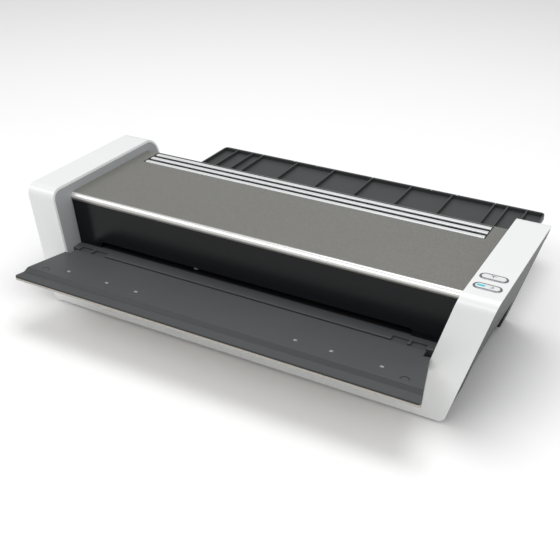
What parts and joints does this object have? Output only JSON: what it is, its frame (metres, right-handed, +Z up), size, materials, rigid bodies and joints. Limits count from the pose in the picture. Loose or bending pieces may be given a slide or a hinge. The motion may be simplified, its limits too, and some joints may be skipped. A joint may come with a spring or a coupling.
{
  "type": "pouch laminator",
  "caption": "Desktop pouch laminator with white end caps, metallic top cover, a folding input tray, a clip-on exit tray, two push buttons and a geared hot-roller unit inside.",
  "frame": {"origin": "centre of the footprint on the table, with both trays in use", "axes": "+X to the operator's right, +Y from the input tray to the exit tray, +Z up"},
  "size_m": [0.4844, 0.3828, 0.1188],
  "materials": {
    "white_plastic": "gloss, painted white",
    "dark_plastic": "fine texture",
    "cover_metallic": "metallic lacquer, satin",
    "black_gloss": "gloss",
    "tray_plastic": "satin",
    "silver_bar": "satin anodised",
    "chrome": "polished",
    "button_white": "satin",
    "light_lens": "clear, lit",
    "steel": "zinc plated",
    "aluminium": "milled",
    "silicone": "matte",
    "rubber": "matte",
    "gear_plastic": "moulded",
    "bush_plastic": "moulded",
    "board": "lacquered",
    "brass": "plated",
    "motor_metal": "zinc plated"
  },
  "bodies": {
    "casing": {"base_pan": "dark_plastic", "base_screws": "steel", "button_switches": "dark_plastic", "control_board": "board", "drive_motor": "motor_metal", "exit_guide": "tray_plastic", "feed_deck": "tray_plastic", "foot_front_left": "rubber", "foot_front_right": "rubber", "foot_rear_left": "rubber", "foot_rear_right": "rubber", "frame_screws": "steel", "front_frame": "white_plastic", "front_panel": "black_gloss", "heating_elements": "steel", "idler_pin": "steel", "inlet_pins": "brass", "left_bushes": "bush_plastic", "left_end_housing": "dark_plastic", "left_side_frame": "steel", "lower_heater_plate": "aluminium", "power_board": "board", "power_button_bezel": "chrome", "power_inlet": "dark_plastic", "pressure_springs": "steel", "rear_cover": "dark_plastic", "reverse_button_bezel": "chrome", "right_bushes": "bush_plastic", "right_end_housing": "dark_plastic", "right_side_frame": "steel", "sensor_bracket": "dark_plastic", "thermal_cutout": "steel", "tie_rods": "steel", "top_cover": "cover_metallic", "tray_hinge_pins": "steel", "upper_heater_plate": "aluminium", "vent_bars": "silver_bar", "vent_grille": "dark_plastic"},
    "input_tray": {"input_tray_panel": "tray_plastic", "input_tray_cover": "cover_metallic"},
    "exit_tray": {"exit_tray": "tray_plastic"},
    "power_button": {"power_button": "button_white", "indicator_lens": "light_lens"},
    "reverse_button": {"reverse_button": "button_white"},
    "idler": {"idler_gear": "gear_plastic"},
    "pinion": {"motor_pinion": "gear_plastic"},
    "sensor_flag": {"pouch_sensor_flag": "gear_plastic"},
    "front_lower_roller": {"front_lower_roller_sleeve": "silicone", "front_lower_roller_shaft": "steel", "front_lower_gear": "gear_plastic"},
    "front_upper_roller": {"front_upper_roller_sleeve": "silicone", "front_upper_roller_shaft": "steel", "front_upper_gear": "gear_plastic"},
    "rear_lower_roller": {"rear_lower_roller_sleeve": "silicone", "rear_lower_roller_shaft": "steel", "rear_lower_gear": "gear_plastic"},
    "rear_upper_roller": {"rear_upper_roller_sleeve": "silicone", "rear_upper_roller_shaft": "steel", "rear_upper_gear": "gear_plastic"}
  },
  "joints": [
    {"name": "input_tray_fold", "type": "hinge", "parent": "casing", "child": "input_tray", "pos_m": [0, -0.12784, 0.053], "axis": [-1, 0, 0], "range_deg": [0, 96]},
    {"name": "exit_tray_slide", "type": "slide", "parent": "casing", "child": "exit_tray", "axis": [0, 1, 0], "range_m": [0, 0.03]},
    {"name": "power_button_press", "type": "slide", "parent": "casing", "child": "power_button", "axis": [0, 0, -1], "range_m": [0, 0.0008], "stiffness_N_per_m": 600, "springref_m": -0.0006},
    {"name": "reverse_button_press", "type": "slide", "parent": "casing", "child": "reverse_button", "axis": [0, 0, -1], "range_m": [0, 0.0008], "stiffness_N_per_m": 600, "springref_m": -0.0006},
    {"name": "sensor_flag_tilt", "type": "hinge", "parent": "casing", "child": "sensor_flag", "pos_m": [-0.06, -0.09604, 0.0502], "axis": [-1, 0, 0], "range_deg": [0, 38], "stiffness_Nm_per_rad": 0.002, "springref_deg": -11.46},
    {"name": "front_lower_roller_spin", "type": "hinge", "parent": "casing", "child": "front_lower_roller", "pos_m": [0, -0.06984, 0.0459], "axis": [-1, 0, 0], "continuous": true},
    {"name": "front_upper_roller_spin", "type": "hinge", "parent": "casing", "child": "front_upper_roller", "pos_m": [0, -0.06984, 0.0709], "axis": [-1, 0, 0], "continuous": true},
    {"name": "rear_lower_roller_spin", "type": "hinge", "parent": "casing", "child": "rear_lower_roller", "pos_m": [0, -0.00984, 0.0459], "axis": [-1, 0, 0], "continuous": true},
    {"name": "rear_upper_roller_spin", "type": "hinge", "parent": "casing", "child": "rear_upper_roller", "pos_m": [0, -0.00984, 0.0709], "axis": [-1, 0, 0], "continuous": true},
    {"name": "idler_spin", "type": "hinge", "parent": "casing", "child": "idler", "pos_m": [-0.17478, -0.03984, 0.0459], "axis": [-1, 0, 0], "continuous": true},
    {"name": "pinion_spin", "type": "hinge", "parent": "casing", "child": "pinion", "pos_m": [-0.17478, -0.03984, 0.01965], "axis": [-1, 0, 0], "continuous": true}
  ],
  "couplings": [
    {"joint": "front_upper_roller_spin", "follows": "front_lower_roller_spin", "ratio": -1},
    {"joint": "rear_lower_roller_spin", "follows": "front_lower_roller_spin", "ratio": 1},
    {"joint": "rear_upper_roller_spin", "follows": "front_lower_roller_spin", "ratio": -1},
    {"joint": "idler_spin", "follows": "front_lower_roller_spin", "ratio": -0.71429},
    {"joint": "pinion_spin", "follows": "front_lower_roller_spin", "ratio": 1.4286}
  ]
}
